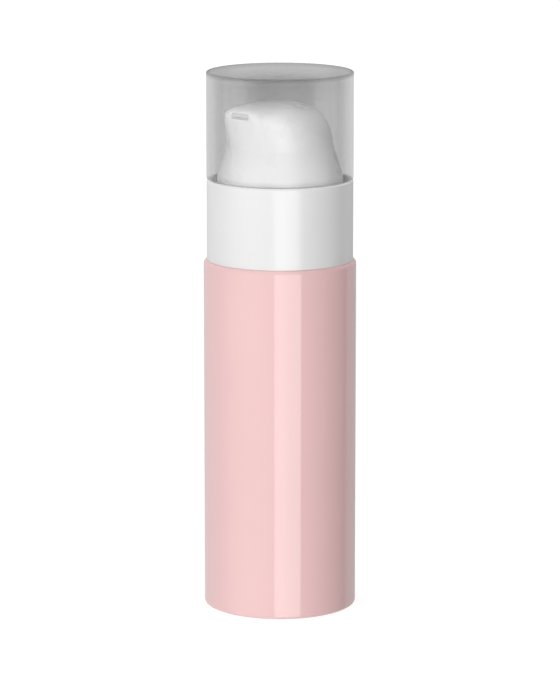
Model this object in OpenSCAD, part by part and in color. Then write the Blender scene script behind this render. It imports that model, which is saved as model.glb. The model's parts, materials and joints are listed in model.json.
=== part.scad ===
// Airless pump bottle with a clear push-on cap, in millimetres.
// The origin is the centre of the foot, +Z is up, and the outlet looks along -Y.

/* [Outer sleeve] */
// Outside diameter of the coloured sleeve
sleeve_d = 38; // [35:0.1:44]
// Height of the sleeve, from its foot to its top rim
sleeve_h = 87.8; // [80:0.1:120]
// Wall of the sleeve
sleeve_wall = 1.5; // [1.3:0.05:1.8]
// Radius that rounds the top rim
rim_round = 1.1; // [0.3:0.1:1.2]
// Radius that rounds the foot
foot_round = 0.8; // [0.2:0.1:1.1]

/* [Collar] */
// How far the side of the white collar stands in from the side of the sleeve
collar_inset = 0.8; // [0.5:0.05:1.2]
// Height of the collar that shows above the sleeve
collar_h = 20.1; // [19:0.1:26]
// Wall around the mouth of the collar
mouth_wall = 1; // [0.8:0.05:1.2]
// Wall of the collar below its deck
collar_wall = 2; // [1.6:0.1:2.3]
// Depth to which the collar plugs into the sleeve
plug_depth = 6.2; // [4:0.1:9]
// Thickness of the deck that rests on the pump closure
deck_t = 1.2; // [0.8:0.1:1.6]
// Wall of the inner tube that grips the pump closure
grip_wall = 0.95; // [0.6:0.05:1]
// Length of the inner tube that grips the pump closure
grip_len = 7.4; // [4:0.1:9]
// Bevel on the edges where the cap meets the collar
joint_bevel = 0.35; // [0.1:0.05:0.5]

/* [Cap] */
// How far the side of the clear cap stands out past the collar
cap_over = 0.05; // [0:0.05:0.4]
// Height of the cap above the collar
cap_h = 26.7; // [24:0.1:34]
// Thickness of the top of the cap
cap_top = 2; // [1.2:0.1:3]
// Length of the spigot that plugs into the collar
spigot_len = 3; // [2:0.1:4.5]
// Wall of the spigot
spigot_wall = 0.7; // [0.6:0.05:1]
// Radius that rounds the top edge of the cap
cap_round = 0.4; // [0.2:0.1:1]
// Radius inside the top of the cap
cap_inner_round = 1; // [0.4:0.1:2]

/* [Inner bottle] */
// Air gap between the sleeve and the inner bottle
air_gap = 0.5; // [0.2:0.05:1]
// Wall of the inner bottle
inner_wall = 1.2; // [0.9:0.05:1.4]
// Thickness of the shoulder of the inner bottle
shoulder_t = 1.4; // [1:0.1:2]
// Radius that rounds the shoulder
shoulder_round = 1; // [0.4:0.1:1.2]
// Space between the shoulder and the plug of the collar
shoulder_gap = 1.6; // [0.6:0.1:2.4]
// How far the neck stands in from the side of the inner bottle
neck_inset = 4.5; // [4.3:0.05:4.7]
// Wall of the neck
neck_wall = 1.3; // [1:0.05:1.5]
// Height of the neck above the shoulder
neck_h = 13; // [12:0.1:14.5]
// Height of the bead around the neck
bead_h = 1.4; // [1:0.1:1.8]
// How far the bead stands out of the neck
bead_rise = 0.7; // [0.4:0.05:0.8]
// Distance of the bead below the top of the neck
bead_drop = 1.6; // [1:0.1:2.2]

/* [Base] */
// Depth of the base plate above the foot
base_recess = 0.8; // [0.4:0.1:2]
// Thickness of the base plate
base_t = 1.4; // [1.2:0.1:2.2]
// Height of the ring that centres the inner bottle
base_ring_h = 0.8; // [0.5:0.1:2]
// Width of the ring that centres the inner bottle
base_ring_w = 2.2; // [1:0.1:4]
// Diameter of the air vent
vent_d = 2.4; // [1:0.1:3]
// Rise of the snap bead around the base plate
snap_rise = 0.2; // [0.1:0.05:0.3]
// Height of the snap bead around the base plate
snap_h = 0.6; // [0.4:0.1:0.8]

/* [Follower piston] */
// Height of the sealing skirt of the follower
follower_h = 10.4; // [8:0.1:14]
// Wall of the follower
follower_wall = 1; // [0.7:0.05:1.3]
// Height of each sealing lip
lip_h = 1.2; // [0.8:0.1:2]
// How far the lips stand out of the skirt
lip_rise = 0.35; // [0.2:0.05:0.5]
// Rise of the web of the follower above the bottom of its skirt
web_rise = 8.4; // [7:0.1:9]
// Height of the crown that fills the neck
crown_h = 13; // [6:0.1:13.5]
// Gap between the crown and the bore of the neck
crown_gap = 0.6; // [0.4:0.05:1]
// Gap between the well in the crown and the dosing chamber
well_gap = 0.9; // [0.5:0.05:1.2]

/* [Pump] */
// Bore of the dosing chamber
chamber_d = 8.8; // [8.5:0.05:9]
// Wall of the dosing chamber
chamber_wall = 1.1; // [0.8:0.05:1.2]
// Stroke of the pump head
stroke = 5; // [3:0.1:5.4]
// Thickness of the neck gasket
gasket_t = 0.9; // [0.5:0.1:1.4]
// Thickness of the housing flange
flange_t = 1.3; // [1.2:0.1:1.8]
// How far the flange and the gasket reach past the neck
flange_over = 0.4; // [0.1:0.05:0.6]
// Depth of the turret bore in the flange
turret_sink = 1; // [0.6:0.1:1]
// Outside diameter of the housing turret
turret_d = 14.1; // [13.8:0.1:14.4]
// Wall of the housing turret
turret_wall = 1.05; // [0.8:0.05:1.2]
// Height of the turret above the closure
turret_rise = 2.8; // [2:0.1:3.4]
// Depth of the stem guide below the top of the turret
guide_recess = 0.8; // [0.3:0.1:1.2]
// Thickness of the closure's top
closure_t = 1.2; // [0.8:0.1:1.8]
// Gap between the closure's skirt and the bead of the neck
bead_gap = 0.35; // [0.15:0.05:0.5]
// Wall of the closure's skirt
closure_wall = 1.05; // [0.8:0.05:1.15]
// Length of the closure's skirt
closure_len = 8.7; // [8:0.1:10]
// Height of the hook that grips under the neck bead
hook_h = 1.6; // [1:0.1:2.4]
// Outside diameter of the upper stem
stem_d = 5; // [4.8:0.1:5.2]
// Bore of the upper stem
stem_bore = 2.6; // [2.2:0.1:2.8]
// Diameter of the stop flange on the upper stem
stop_d = 6.8; // [6.2:0.1:6.9]
// Thickness of the stop flange
stop_t = 1; // [0.6:0.1:1.4]
// Free travel between the stem and the sealing piston
lag = 0.85; // [0.4:0.05:1.2]
// Length over which the stem stands in the piston hub
hub_grip = 1.2; // [0.8:0.1:2]
// Height of the seat below the stem in the sealing piston
seat_t = 1.4; // [1:0.1:2]
// Wall of the hub of the sealing piston
hub_wall = 0.7; // [0.5:0.05:0.8]
// Thickness of the web between the hub and the cup
piston_web_t = 1; // [0.6:0.1:1.4]
// Depth of the waist around the sealing piston
waist_depth = 0.2; // [0.1:0.05:0.3]
// Wall of the outer cup of the sealing piston
cup_wall = 0.8; // [0.5:0.05:0.85]
// Diameter of the foot of the piston rod
rod_foot_d = 5.8; // [5.2:0.1:6.4]
// Thickness of the foot of the piston rod
rod_foot_t = 1.2; // [0.8:0.1:1.8]
// Length of the piston rod that plugs into the stem
rod_grip = 6.2; // [4:0.1:9]
// Bore of the piston rod
rod_bore = 1.4; // [1:0.1:1.6]
// Diameter of the cross hole in the piston rod
cross_hole_d = 1; // [0.6:0.1:1.2]
// Room left below the rod at full stroke
end_room = 1.2; // [0.4:0.1:2]

/* [Inlet valve] */
// Diameter of the inlet ball
ball_d = 3.2; // [3:0.1:3.4]
// Bore of the pocket that holds the ball
pocket_d = 3.9; // [3.7:0.1:4.2]
// Bore of the inlet
inlet_d = 2; // [1.6:0.1:2.1]
// Length of the inlet below the valve seat
inlet_len = 1.6; // [1:0.1:2]
// Lift of the ball
ball_lift = 1.2; // [0.6:0.1:1.4]
// Outside diameter of the ball cage
cage_d = 5.2; // [4.8:0.1:5.6]
// Thickness of the ball cage
cage_t = 1; // [0.6:0.1:1.4]
// Bore of the ball cage
cage_bore = 2.2; // [1.8:0.1:2.4]
// Width of the slots in the ball cage
cage_slot = 0.7; // [0.5:0.05:0.8]
// How far the slots reach past the cage's bore
slot_reach = 0.55; // [0.3:0.05:0.8]
// Thickness of the housing's floor around the cage
floor_t = 0.6; // [0.4:0.1:1]
// Wall around the valve pocket
pocket_wall = 1.25; // [1:0.05:1.6]

/* [Return spring] */
// Height of the spring at rest
spring_h = 11.3; // [10.5:0.1:12.5]
// Diameter of the spring wire
wire_d = 0.8; // [0.5:0.05:0.9]
// Diameter at the middle of the coils
coil_d = 8.6; // [8:0.1:9]
// Number of coils
coils = 6; // [4:0.5:6]

/* [Pump head] */
// Gap between the skirt of the head and the spigot of the cap
skirt_gap = 0.87; // [0.5:0.01:1.1]
// Depth of the skirt below the top of the collar
skirt_dip = 2.6; // [1:0.1:4]
// Height above the collar where the skirt starts to narrow
bell_rise = 0.5; // [0:0.1:2]
// How far the crease below the crown stands in from the skirt
crease_inset = 2.35; // [2:0.05:2.6]
// Height of the crease above the collar
crease_rise = 8.4; // [8:0.1:9.5]
// Height of the crown above the crease
crown_top = 10.9; // [10.5:0.05:11.8]
// Lean of the crown's wall, the same on all sides
lean_all = -0.027; // [-0.06:0.001:0]
// Lean of the crown's wall towards the outlet
lean_front = 0.154; // [0.1:0.001:0.17]
// Fall of the top from its middle to its edge, the same on all sides
fall_all = 1.4; // [1:0.05:1.6]
// Extra fall of the top towards the outlet
fall_front = 0.7; // [0.4:0.05:0.9]
// Rise of the lip over the outlet
lip_lift = 1; // [0.4:0.05:1.1]
// Half angle over which the lip keeps its rise
lip_angle = 8; // [6:1:10]
// Angle over which the lip falls away to the side
lip_blend = 30; // [24:2:36]
// Sharpness of the crown's edge at the outlet
edge_front = 14; // [8:0.5:16]
// Sharpness of the crown's edge at the back
edge_back = 3.2; // [2.8:0.1:3.4]
// How fast the edge softens from front to back
edge_turn = 6; // [5:0.5:7]
// How far the flat front face stands out from the crease
face_over = 1.6; // [1.4:0.05:1.8]
// Half angle of the flat front face
face_angle = 17; // [14:1:20]
// Angle over which the front face blends into the side
face_blend = 12; // [8:1:16]
// Wall of the head's shell
shell_wall = 1.3; // [1:0.05:1.5]
// Thickness of the head's top, at the middle
roof_t = 2.4; // [2:0.1:2.8]
// How far the flat ceiling inside the head stands in from the crease
roof_inset = 5.8; // [5.2:0.1:6.6]
// How far the wall inside the head stands in from the crease, half way up its crown
side_inset = 2.8; // [2.4:0.1:3.4]
// Height above the crease at which that wall is taken
side_rise = 5; // [4:0.1:6]
// Length of the land that grips the core, below the core's web
land_len = 1; // [0.6:0.1:1.6]

/* [Outlet] */
// Height of the middle of the outlet above the crease
slot_rise = 8.35; // [8:0.05:8.5]
// Width of the outlet slot
slot_w = 5.4; // [4:0.1:5.6]
// Height of the outlet slot
slot_h = 0.3; // [0.2:0.05:0.4]
// Drop from the middle of the nozzle's face to the slot
slot_drop = 0.3; // [0.1:0.05:0.3]
// Wall of the nozzle at the ends of the slot
nozzle_wall = 0.4; // [0.3:0.05:0.5]
// Height of the nozzle's face, which is the floor of a shallow recess in the front of the head
nozzle_h = 1.3; // [1.1:0.05:1.5]
// Depth of the nozzle's face behind the foremost line of the front face
nozzle_recess = 0.9; // [0.6:0.05:1.4]
// Thickness of the shell in front of the nozzle's block
front_wall = 2.5; // [2.3:0.05:2.8]
// Length of the nozzle's block
block_len = 2.8; // [2.4:0.1:3.2]
// Wall of the block below the duct
block_wall = 0.4; // [0.3:0.05:0.6]
// Length of the duct that plugs into the block
duct_grip = 1.4; // [1:0.1:1.6]
// Length of the channel that rises from the duct to the slot
channel_len = 0.8; // [0.6:0.05:1]
// Width of the channel that rises from the duct to the slot
channel_w = 2; // [1.4:0.1:2.4]
// Drop from the middle of the outlet to the duct behind it
duct_drop = 2.35; // [2.2:0.05:2.5]
// Bore of the duct
duct_bore = 2; // [1.4:0.1:2.2]
// Wall of the duct
duct_wall = 1; // [0.6:0.05:1.1]
// Length of the socket that takes the stem
socket_len = 5.3; // [4:0.1:5.6]
// Diameter of the boss around the socket
boss_d = 10.4; // [10:0.1:11]
// Thickness of the core's web
core_web_t = 1.2; // [0.8:0.1:1.6]
// Wall of the guide tube that runs around the turret
guide_wall = 1.1; // [0.8:0.05:1.2]
// Length of the guide tube below the web
guide_len = 12.6; // [9:0.1:12.8]

/* [Hidden] */
$fn = 96;

// clearances
press_gap = 0.03; // between pieces pressed together
slide_gap = 0.06; // radial gap of a sliding fit
push_gap = 0.08; // radial gap of the cap's spigot
free_gap = 0.3; // between pieces that pass without touching
hook_gap = 0.25; // between the closure's hook and the neck
deck_room = 0.65; // between the head's guide tube and the deck
end_play = 0.2; // between pieces that stop each other end to end
seat_gap = 0.02; // between the inlet ball and its seat
spring_play = 0.05; // at each end of the spring
floor_room = 1; // between the inlet and the follower at its highest place
sink = 0.2; // how far a solid reaches into the one that it joins
step = 0.1; // between parallel faces of joined solids
cut = 1; // how far a cutter runs past the face it opens

// levels, from the foot up
sleeve_r = sleeve_d / 2;
sleeve_bore_r = sleeve_r - sleeve_wall;
base_top = base_recess + base_t;
follower_z = base_top + base_ring_h;
shoulder_top = sleeve_h - plug_depth - shoulder_gap;
shoulder_under = shoulder_top - shoulder_t;
neck_top = shoulder_top + neck_h;
flange_z = neck_top + gasket_t;
flange_top = flange_z + flange_t;
closure_top = flange_top + closure_t;
deck_top = closure_top + deck_t;
collar_top = sleeve_h + collar_h;
turret_top = closure_top + turret_rise;
guide_top = turret_top - guide_recess;
guide_z = flange_top - turret_sink;

// radii of the bottle
inner_r = sleeve_bore_r - air_gap;
inner_bore_r = inner_r - inner_wall;
neck_r = inner_r - neck_inset;
neck_bore_r = neck_r - neck_wall;
bead_r = neck_r + bead_rise;
closure_bore_r = bead_r + bead_gap;
closure_r = closure_bore_r + closure_wall;
collar_r = sleeve_r - collar_inset;
mouth_r = collar_r - mouth_wall;
plug_r = sleeve_bore_r - slide_gap;
cap_r = collar_r + cap_over;
spigot_r = mouth_r - push_gap;
spigot_bore_r = spigot_r - spigot_wall;

// the pump's chamber, stem and piston
chamber_r = chamber_d / 2;
chamber_out_r = chamber_r + chamber_wall;
turret_r = turret_d / 2;
turret_bore_r = turret_r - turret_wall;
stem_r = stem_d / 2;
stop_top = guide_z - end_play;
stop_z = stop_top - stop_t;
hub_top = stop_z - lag - end_play;
stem_z = hub_top - hub_grip;
seat_top = stem_z - lag;
piston_z = seat_top - seat_t;
rod_z = piston_z - rod_foot_t;
chamber_floor = rod_z - stroke - end_room;

// the inlet valve: the ball sits on a seat of 45 degrees
cage_z = chamber_floor - cage_t;
ball_r = ball_d / 2;
pocket_r = pocket_d / 2;
inlet_r = inlet_d / 2;
ball_top_room = sqrt(pow(ball_r, 2) - pow(cage_bore / 2, 2));
ball_z = cage_z - ball_top_room - ball_lift - free_gap;
seat_z = ball_z - ball_r * sqrt(2) - seat_gap + inlet_r;
inlet_z = seat_z - inlet_len;

// the follower and its highest place
follower_travel = shoulder_under - end_play - follower_h - follower_z;
well_floor = min(inlet_z - floor_room - follower_travel, follower_z + web_rise);
follower_web = follower_z + web_rise;

// the head and its outlet
skirt_r = spigot_bore_r - skirt_gap;
crease_r = skirt_r - crease_inset;
face_y = crease_r + face_over;
side_r = crease_r - side_inset;
roof_r = crease_r - roof_inset;
skirt_z = collar_top - skirt_dip;
bell_z = collar_top + bell_rise;
crease_z = collar_top + crease_rise;
boss_z = guide_top + spring_h;
coil_rise = (spring_h - wire_d - 2 * spring_play) / coils;
socket_top = boss_z + socket_len;
stem_top = socket_top - free_gap;
core_web_z = socket_top - core_web_t;
outlet_z = crease_z + slot_rise;
slot_z = outlet_z - slot_drop;
duct_z = outlet_z - duct_drop;
duct_r = duct_bore / 2;
duct_out_r = duct_r + duct_wall;
face_end = face_angle + face_blend;
nozzle_y = -(face_y - nozzle_recess);
nozzle_w = slot_w + 2 * nozzle_wall;
block_front = -(face_y - front_wall);
block_back = block_front + block_len;
duct_end = block_back - duct_grip;
block_w = nozzle_w - step;
block_z = duct_z - duct_out_r - block_wall;
block_top = outlet_z + nozzle_h / 2;
pocket_back = stem_r;
front_skin = 0.5;
flange_r = neck_r + flange_over;

// a ring around Z, from radius r1 to r2 and from z1 to z2
module ring(r1, r2, z1, z2) {
    rotate_extrude() translate([r1, z1]) square([r2 - r1, z2 - z1]);
}

// a bar along Y with round ends in its section, from y1 to y2
module flat_bar(w, h, y1, y2, z) {
    translate([0, y2, z]) rotate([90, 0, 0]) linear_extrude(y2 - y1) {
        square([w - h, h], center = true);
        for (side = [-1, 1]) translate([side * (w - h) / 2, 0]) circle(d = h);
    }
}

// the square corner left outside a round of radius r, for cutting an outline
module corner(r) {
    difference() {
        square(r + cut);
        circle(r);
    }
}

module outer_sleeve() {
    color([0.95, 0.79, 0.79]) rotate_extrude() difference() {
        translate([sleeve_bore_r, 0]) square([sleeve_wall, sleeve_h]);
        translate([sleeve_r - rim_round, sleeve_h - rim_round]) corner(rim_round);
        translate([sleeve_r - foot_round, foot_round]) mirror([0, 1]) corner(foot_round);
        translate([sleeve_bore_r - cut, base_recess + (base_t - snap_h) / 2])
            square([cut + snap_rise + press_gap, snap_h]);
    }
}

module base_plate() {
    ring_r = inner_bore_r - slide_gap;
    color([0.9, 0.75, 0.75]) difference() {
        union() {
            ring(0, plug_r, base_recess, base_top);
            ring(plug_r - cut, sleeve_bore_r + snap_rise, base_recess + (base_t - snap_h) / 2 + press_gap,
                base_recess + (base_t + snap_h) / 2 - press_gap);
            ring(ring_r - base_ring_w, ring_r, base_top - sink, base_top + base_ring_h);
        }
        translate([0, 0, base_recess - cut]) cylinder(d = vent_d, h = base_t + 2 * cut);
    }
}

module inner_bottle() {
    color([0.96, 0.96, 0.95]) rotate_extrude() difference() {
        union() {
            translate([inner_bore_r, base_top]) square([inner_wall, shoulder_top - base_top]);
            translate([neck_bore_r, shoulder_under]) square([inner_r - neck_bore_r, shoulder_t]);
            translate([neck_bore_r, shoulder_under]) square([neck_wall, neck_top - shoulder_under]);
            translate([neck_bore_r, neck_top - bead_drop - bead_h])
                square([bead_r - neck_bore_r, bead_h]);
        }
        translate([inner_r - shoulder_round, shoulder_top - shoulder_round]) corner(shoulder_round);
    }
}

module follower_piston() {
    lip_r = inner_bore_r - slide_gap;
    skirt_out_r = lip_r - lip_rise;
    crown_out_r = neck_bore_r - crown_gap;
    well_r = chamber_out_r + well_gap;
    crown_z = follower_web + crown_h;
    color([0.93, 0.93, 0.92]) rotate_extrude() {
        translate([skirt_out_r - follower_wall, follower_z]) square([follower_wall, follower_h]);
        for (z = [follower_z, follower_z + follower_h - lip_h])
            translate([skirt_out_r - follower_wall, z]) square([follower_wall + lip_rise, lip_h]);
        translate([crown_out_r - follower_wall, follower_web])
            square([skirt_out_r - crown_out_r + follower_wall, follower_wall]);
        translate([crown_out_r - follower_wall, follower_web]) square([follower_wall, crown_h]);
        translate([well_r, crown_z - follower_wall]) square([crown_out_r - well_r, follower_wall]);
        translate([well_r, well_floor - follower_wall])
            square([follower_wall, crown_z - well_floor + follower_wall]);
        translate([0, well_floor - follower_wall]) square([well_r + follower_wall, follower_wall]);
    }
}

module collar() {
    below_r = collar_r - collar_wall;
    grip_r = closure_r + press_gap;
    hole_r = turret_r + free_gap + guide_wall + deck_room;
    color([0.96, 0.96, 0.96]) rotate_extrude() difference() {
        union() {
            translate([below_r, sleeve_h - plug_depth]) square([plug_r - below_r, plug_depth + cut]);
            translate([below_r, sleeve_h]) square([collar_r - below_r, deck_top - sleeve_h]);
            translate([mouth_r, sleeve_h]) square([mouth_wall, collar_h]);
            translate([hole_r, closure_top]) square([mouth_r - hole_r + sink, deck_t]);
            translate([grip_r, closure_top - grip_len]) square([grip_wall, grip_len]);
        }
        translate([collar_r, collar_top]) circle(r = joint_bevel, $fn = 4);
    }
}

module pump_closure() {
    hook_r = neck_r + hook_gap;
    hook_z = neck_top - bead_drop - bead_h - end_play - hook_h;
    color([0.94, 0.94, 0.94]) rotate_extrude() {
        translate([turret_r + slide_gap, flange_top])
            square([closure_r - turret_r - slide_gap, closure_t]);
        translate([closure_bore_r, closure_top - closure_t - closure_len])
            square([closure_wall, closure_len + closure_t]);
        translate([hook_r, hook_z]) square([closure_bore_r - hook_r + closure_wall / 2, hook_h]);
    }
}

module neck_gasket() {
    color([0.82, 0.84, 0.85]) ring(neck_bore_r, flange_r, neck_top, flange_z);
}

module pump_housing() {
    foot_r = pocket_r + pocket_wall;
    color([0.92, 0.93, 0.94]) difference() {
        union() {
            ring(0, chamber_out_r, cage_z - floor_t, flange_top);
            ring(0, foot_r, inlet_z, cage_z);
            ring(chamber_out_r - sink, flange_r, flange_z, flange_top);
            ring(turret_bore_r, turret_r, guide_z, turret_top);
        }
        translate([0, 0, chamber_floor]) cylinder(r = chamber_r, h = guide_z - chamber_floor);
        translate([0, 0, guide_z]) cylinder(r = turret_bore_r, h = turret_top - guide_z + cut);
        translate([0, 0, cage_z]) cylinder(r = cage_d / 2, h = cage_t + cut);
        translate([0, 0, seat_z]) cylinder(r1 = inlet_r, r2 = pocket_r, h = pocket_r - inlet_r);
        translate([0, 0, seat_z + pocket_r - inlet_r])
            cylinder(r = pocket_r, h = cage_z - seat_z - pocket_r + inlet_r + cut);
        translate([0, 0, inlet_z - cut]) cylinder(r = inlet_r, h = inlet_len + 2 * cut);
    }
}

module ball_cage() {
    slot_len = cage_bore + 2 * slot_reach;
    color([0.9, 0.9, 0.9]) difference() {
        ring(cage_bore / 2, cage_d / 2 - press_gap, cage_z, chamber_floor);
        for (turn = [0 : 60 : 120]) rotate([0, 0, turn])
            translate([-slot_len / 2, -cage_slot / 2, cage_z - cut])
                cube([slot_len, cage_slot, cage_t + 2 * cut]);
    }
}

module inlet_ball() {
    color([0.75, 0.77, 0.8]) translate([0, 0, ball_z]) sphere(r = ball_r);
}

module sealing_piston() {
    lip_r = chamber_r - slide_gap;
    hub_bore_r = stem_r + slide_gap;
    hub_out_r = hub_bore_r + hub_wall;
    seat_bore_r = stem_bore / 2 + free_gap;
    waist_r = 1.1;
    color([0.88, 0.9, 0.92]) rotate_extrude() difference() {
        union() {
            translate([lip_r - cup_wall, piston_z + end_play])
                square([cup_wall, stop_z - piston_z - end_play]);
            translate([0, piston_z]) square([hub_out_r, hub_top - piston_z]);
            translate([0, seat_top - piston_web_t / 2]) square([lip_r - cup_wall / 2, piston_web_t]);
        }
        translate([0, seat_top]) square([hub_bore_r, hub_top - seat_top + cut]);
        translate([0, piston_z - cut]) square([seat_bore_r, hub_top - piston_z + cut]);
        translate([lip_r + waist_r - waist_depth, (piston_z + stop_z) / 2]) circle(r = waist_r);
    }
}

module piston_rod() {
    rod_r = stem_bore / 2 - press_gap;
    hole_z = piston_z + step + cross_hole_d / 2;
    color([0.9, 0.9, 0.9]) difference() {
        union() {
            ring(0, rod_foot_d / 2, rod_z, piston_z);
            ring(0, rod_r, piston_z - sink, stem_z + rod_grip);
        }
        translate([0, 0, hole_z]) cylinder(d = rod_bore, h = stem_z + rod_grip);
        translate([0, 0, hole_z]) rotate([90, 0, 0])
            cylinder(d = cross_hole_d, h = rod_foot_d, center = true);
    }
}

module upper_stem() {
    color([0.94, 0.94, 0.94]) difference() {
        union() {
            ring(0, stem_r, stem_z, stem_top);
            ring(0, stop_d / 2, stop_z, stop_top);
        }
        translate([0, 0, stem_z - cut]) cylinder(d = stem_bore, h = stem_top - stem_z + 2 * cut);
    }
}

module stem_guide() {
    wipe_r = 0.8;
    color([0.9, 0.91, 0.93]) difference() {
        ring(stem_r + slide_gap, turret_bore_r - press_gap, guide_z, guide_top);
        rotate_extrude() translate([stem_r, guide_top]) circle(r = wipe_r);
    }
}

// a point of the spring's wire: turn is the angle along the coil, around is the angle in the wire
function wire_point(turn, around) =
    let (
        wire_r = wire_d / 2,
        climb = coil_rise / 360,
        r = coil_d / 2 + wire_r * cos(around)
    )
    [r * cos(turn), r * sin(turn), guide_top + spring_play + wire_r + climb * turn + wire_r * sin(around)];

module return_spring() {
    sides = 8;
    steps = 12 * coils;
    points = [for (i = [0 : steps], j = [0 : sides - 1])
        wire_point(i * 360 * coils / steps, -j * 360 / sides)];
    walls = [for (i = [0 : steps - 1], j = [0 : sides - 1])
        let (a = i * sides + j, b = i * sides + (j + 1) % sides) each
            [[a, b, a + sides], [b, b + sides, a + sides]]];
    start = [[for (j = [sides - 1 : -1 : 0]) j]];
    end = [[for (j = [0 : sides - 1]) steps * sides + j]];
    echo(least_gap_between_coils = coil_rise - wire_d);
    color([0.75, 0.76, 0.78]) polyhedron(points, concat(walls, start, end), convexity = 10);
}

module actuator_core() {
    web_r = crease_r - shell_wall - press_gap;
    tube_r = turret_r + free_gap;
    riser_r = duct_out_r + 2 * sink;
    riser_top = duct_z + duct_out_r - step;
    color([0.95, 0.95, 0.95]) difference() {
        union() {
            ring(0, web_r, core_web_z, socket_top);
            ring(0, boss_d / 2, boss_z, socket_top);
            ring(0, riser_r, core_web_z, riser_top);
            ring(tube_r, tube_r + guide_wall, socket_top - guide_len, socket_top);
            translate([0, 0, duct_z]) rotate([90, 0, 0]) cylinder(r = duct_out_r, h = -duct_end);
        }
        translate([0, 0, boss_z - cut])
            cylinder(r = stem_r + slide_gap, h = stem_top - boss_z + cut + end_play);
        translate([0, 0, boss_z]) cylinder(r = stem_bore / 2, h = duct_z - boss_z);
        translate([0, 0, duct_z]) rotate([90, 0, 0]) cylinder(r = duct_r, h = -duct_end + cut);
        translate([0, 0, duct_z]) sphere(r = stem_bore / 2);
    }
}

module nozzle_insert() {
    channel_front = block_front + front_skin;
    channel_back = channel_front + channel_len;
    color([0.93, 0.93, 0.93]) difference() {
        union() {
            translate([-block_w / 2, block_front, block_z])
                cube([block_w, block_len, block_top - block_z]);
            flat_bar(nozzle_w, nozzle_h, nozzle_y, channel_front, outlet_z);
        }
        flat_bar(slot_w, slot_h, nozzle_y - cut, channel_back, slot_z);
        translate([-channel_w / 2, channel_front, duct_z])
            cube([channel_w, channel_len, slot_z - duct_z]);
        translate([0, block_back + cut, duct_z]) rotate([90, 0, 0])
            cylinder(r = duct_out_r + press_gap, h = duct_grip + cut + step);
        translate([0, block_back, duct_z]) rotate([90, 0, 0])
            cylinder(r = duct_r, h = block_back - channel_front);
    }
}

// how much of the face or the lip is left at an angle from the outlet: 1 in front, 0 at the sides
function left_of(a, keep, blend) =
    let (s = max(0, min(1, (abs(a) - keep) / blend)))
    1 - s * s * (3 - 2 * s);

// how far the crown's wall stands out at its top, at an angle from the outlet
function crown_r(a) = crease_r + (lean_all + lean_front * cos(a)) * crown_top;

// a point of the crown at an angle from the outlet; rise runs from 0 at the crease to 90 at the top
function crown_point(a, rise) =
    let (
        edge = edge_back + (edge_front - edge_back) * pow((1 + cos(a)) / 2, edge_turn),
        out = pow(cos(rise), 2 / edge),
        up = pow(sin(rise), 2 / edge),
        flat = face_y / cos(min(abs(a), face_end)) / crown_r(a) - 1,
        wall = crease_r + (crown_r(a) - crease_r) * up,
        r = out * wall * (1 + flat * left_of(a, face_angle, face_blend) * up),
        fall = fall_all + fall_front * cos(a) - lip_lift * left_of(a, lip_angle, lip_blend)
    )
    [r * sin(a), -r * cos(a), crease_z + up * (crown_top - fall * out * out)];

// the radius of the bell below the crease; t runs from 0 at the crease to 1 where it is upright
function bell(t) =
    let (ease = 0.85, slope = 2 / (1 + ease))
    crease_r + (skirt_r - crease_r)
        * (t < ease ? slope * t : 1 - slope * pow(1 - t, 2) / (2 * (1 - ease)));

// rises from 0 to 90, closer together near both ends
mid_rise = 45;
half_steps = 10;
crown_rises = [for (i = [1 : 2 * half_steps - 1])
    let (s = i / half_steps - 1)
    mid_rise * (1 + sign(s) * (1 - pow(1 - abs(s), 3)))];

module head_form() {
    turns = 72;
    bell_steps = 6;
    skirt_rings = concat(
        [[skirt_r, skirt_z]],
        [for (i = [bell_steps : -1 : 0]) let (t = i / bell_steps)
            [bell(t), crease_z - t * (crease_z - bell_z)]]);
    rings = len(skirt_rings) + len(crown_rises);
    points = concat(
        [for (ring = skirt_rings, j = [0 : turns - 1]) let (a = j * 360 / turns)
            [ring[0] * sin(a), -ring[0] * cos(a), ring[1]]],
        [for (rise = crown_rises, j = [0 : turns - 1]) crown_point(j * 360 / turns, rise)],
        [[0, 0, crease_z + crown_top]]);
    last = rings * turns;
    walls = [for (i = [0 : rings - 2], j = [0 : turns - 1])
        let (a = i * turns + j, b = i * turns + (j + 1) % turns) each
            [[a, a + turns, b], [b, a + turns, b + turns]]];
    lid = [for (j = [0 : turns - 1]) [last - turns + j, last, last - turns + (j + 1) % turns]];
    floor = [[for (j = [0 : turns - 1]) j]];
    polyhedron(points, concat(walls, lid, floor), convexity = 4);
}

module actuator_shell() {
    skirt_in = skirt_r - shell_wall;
    land_r = crease_r - shell_wall;
    land_z = core_web_z - land_len;
    pocket_w = nozzle_w + step;
    color([0.97, 0.97, 0.97]) difference() {
        head_form();
        rotate_extrude() polygon([
            [0, skirt_z - cut],
            [skirt_in, skirt_z - cut],
            [skirt_in, bell_z],
            [land_r, land_z],
            [land_r, socket_top + press_gap],
            [side_r, crease_z + side_rise],
            [roof_r, crease_z + crown_top - roof_t],
            [0, crease_z + crown_top - roof_t]
        ]);
        translate([-pocket_w / 2, block_front - press_gap, block_z - press_gap])
            cube([pocket_w, -block_front - pocket_back, block_top - block_z + 2 * press_gap]);
        flat_bar(nozzle_w + 2 * press_gap, nozzle_h + 2 * press_gap, -face_y - cut,
            block_front + cut, outlet_z);
    }
}

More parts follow.
